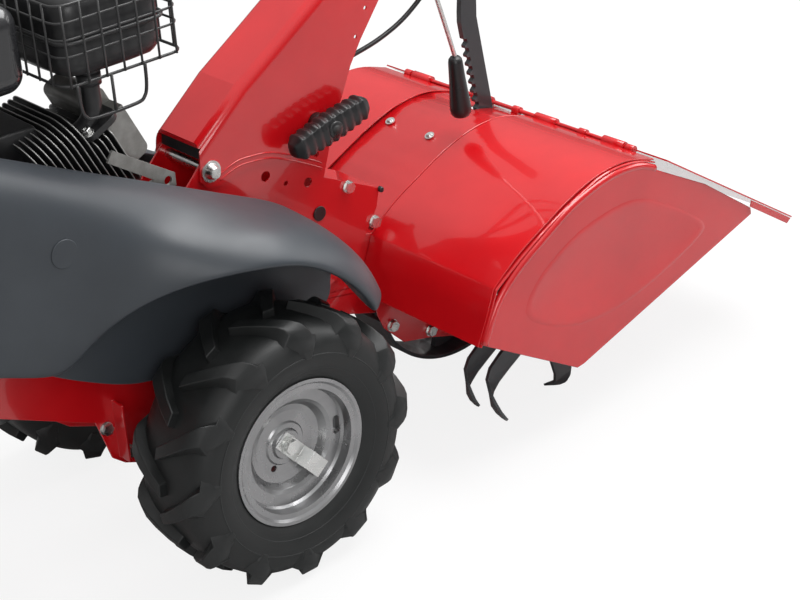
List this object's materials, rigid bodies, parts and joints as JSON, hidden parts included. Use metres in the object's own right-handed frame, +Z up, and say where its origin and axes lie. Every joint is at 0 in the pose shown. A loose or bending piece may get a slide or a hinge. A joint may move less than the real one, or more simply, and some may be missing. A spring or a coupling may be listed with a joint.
{
  "type": "tiller",
  "caption": "Walk-behind garden tiller with rear rotor hood, chain drive, engine, tilting handlebar column and adjustable depth bar.",
  "frame": {"origin": "on the ground below the middle of the machine's bounding box", "axes": "+X the machine's left side, +Y rearwards to the handle grips, +Z up"},
  "size_m": [0.6158, 1.4232, 1.019],
  "materials": {
    "red_paint": "gloss",
    "guard_plastic": "matte moulded",
    "tyre_rubber": "moulded",
    "rim_paint": "satin",
    "zinc": "zinc plated",
    "bright_steel": "machined",
    "dark_steel": "satin",
    "black_plastic": "satin",
    "cast_alloy": "as cast",
    "engine_black": "satin",
    "tank_paint": "gloss",
    "belt_rubber": "matte"
  },
  "bodies": {
    "root": {"chain_case_left": "red_paint", "chain_case_right": "red_paint", "shaft_bushes": "bright_steel", "drive_chains": "dark_steel", "drive_belt": "belt_rubber", "belt_guard": "guard_plastic", "guard_cap": "guard_plastic", "right_fender": "guard_plastic", "chassis_tunnel": "red_paint", "column_bracket": "red_paint", "pivot_bolt": "zinc", "hood_left_skin": "red_paint", "hood_right_skin": "red_paint", "hood_left_plate": "red_paint", "hood_right_plate": "red_paint", "flap_hinge_rod": "red_paint", "hood_inner_plates": "red_paint", "skid": "dark_steel", "crankcase": "engine_black", "cylinder_block": "engine_black", "rocker_cover": "cast_alloy", "muffler": "engine_black", "muffler_guard": "engine_black", "exhaust_pipe": "engine_black", "fuel_tank": "tank_paint", "air_filter": "black_plastic", "recoil_housing": "engine_black", "starter_grip": "black_plastic", "body_bolts": "zinc"},
    "wheels": {"tyre_left": "tyre_rubber", "tyre_right": "tyre_rubber", "rim_left": "rim_paint", "rim_right": "rim_paint", "axle_end_bolts": "zinc", "hub_lock_strips": "zinc", "wheel_axle": "bright_steel", "axle_sprocket": "bright_steel"},
    "input_drive": {"input_shaft": "bright_steel", "input_sprockets": "bright_steel", "driven_pulley": "dark_steel"},
    "engine_crank": {"crankshaft": "bright_steel", "engine_pulley": "dark_steel"},
    "rotor": {"tine_shaft": "dark_steel", "tine_flanges": "dark_steel", "tine_blades_left": "dark_steel", "tine_blades_right": "dark_steel", "tine_sprocket": "bright_steel"},
    "column": {"column_shell": "red_paint", "control_cables": "black_plastic"},
    "clamp_knob": {"column_knob": "black_plastic"},
    "lock_lever": {"lock_lever": "zinc"},
    "handlebar": {"handlebar": "dark_steel", "handlebar_grips": "belt_rubber", "upper_cables": "black_plastic"},
    "drive_lever": {"drive_lever": "black_plastic"},
    "reverse_lever": {"reverse_lever": "black_plastic"},
    "depth_bar": {"depth_bar": "dark_steel"},
    "rear_flap": {"rear_flap": "red_paint"},
    "tensioner": {"tensioner_arm": "cast_alloy"},
    "idler": {"idler_pulley": "bright_steel"}
  },
  "joints": [
    {"name": "wheel_turn", "type": "hinge", "parent": "root", "child": "wheels", "pos_m": [0, -0.2815, 0.165], "axis": [1, 0, 0], "continuous": true},
    {"name": "input_turn", "type": "hinge", "parent": "root", "child": "input_drive", "pos_m": [0, -0.2815, 0.3], "axis": [1, 0, 0], "continuous": true},
    {"name": "crank_turn", "type": "hinge", "parent": "root", "child": "engine_crank", "pos_m": [0, -0.4875, 0.462], "axis": [1, 0, 0], "continuous": true},
    {"name": "rotor_turn", "type": "hinge", "parent": "root", "child": "rotor", "pos_m": [0, 0.1685, 0.15465], "axis": [1, 0, 0], "continuous": true},
    {"name": "column_tilt", "type": "hinge", "parent": "root", "child": "column", "pos_m": [0, -0.2235, 0.432], "axis": [1, 0, 0], "range_deg": [-3, 6]},
    {"name": "knob_turn", "type": "hinge", "parent": "column", "child": "clamp_knob", "pos_m": [0, -0.0655, 0.442], "axis": [1, 0, 0], "range_deg": [-90, 90]},
    {"name": "bar_swivel", "type": "hinge", "parent": "column", "child": "handlebar", "pos_m": [0, 0.1395, 0.692], "axis": [0, 0.725, 0.6887], "range_deg": [-15, 15]},
    {"name": "lock_swing", "type": "hinge", "parent": "column", "child": "lock_lever", "pos_m": [0.03, 0.1165, 0.64], "axis": [1, 0, 0], "range_deg": [0, 18]},
    {"name": "drive_squeeze", "type": "hinge", "parent": "handlebar", "child": "drive_lever", "pos_m": [0.29, 0.5645, 0.974], "axis": [1, 0, 0], "range_deg": [-8, 0], "stiffness_Nm_per_rad": 3, "springref_deg": 17.19},
    {"name": "reverse_squeeze", "type": "hinge", "parent": "handlebar", "child": "reverse_lever", "pos_m": [-0.29, 0.5645, 0.974], "axis": [1, 0, 0], "range_deg": [-8, 0], "stiffness_Nm_per_rad": 3, "springref_deg": 17.19},
    {"name": "depth_slide", "type": "slide", "parent": "root", "child": "depth_bar", "axis": [0, -0.1736, 0.9848], "range_m": [-0.054, 0.054]},
    {"name": "flap_lift", "type": "hinge", "parent": "root", "child": "rear_flap", "pos_m": [0, 0.3095, 0.328], "axis": [1, 0, 0], "range_deg": [0, 75]},
    {"name": "belt_tension", "type": "hinge", "parent": "root", "child": "tensioner", "pos_m": [0.082, -0.3085, 0.462], "axis": [1, 0, 0], "range_deg": [0, 7]},
    {"name": "idler_turn", "type": "hinge", "parent": "tensioner", "child": "idler", "pos_m": [0.101, -0.3602, 0.4577], "axis": [1, 0, 0], "continuous": true}
  ],
  "couplings": [
    {"joint": "input_turn", "follows": "wheel_turn", "ratio": 3},
    {"joint": "crank_turn", "follows": "wheel_turn", "ratio": 5.6842},
    {"joint": "rotor_turn", "follows": "wheel_turn", "ratio": 1.5},
    {"joint": "belt_tension", "follows": "drive_squeeze", "ratio": -0.85}
  ]
}
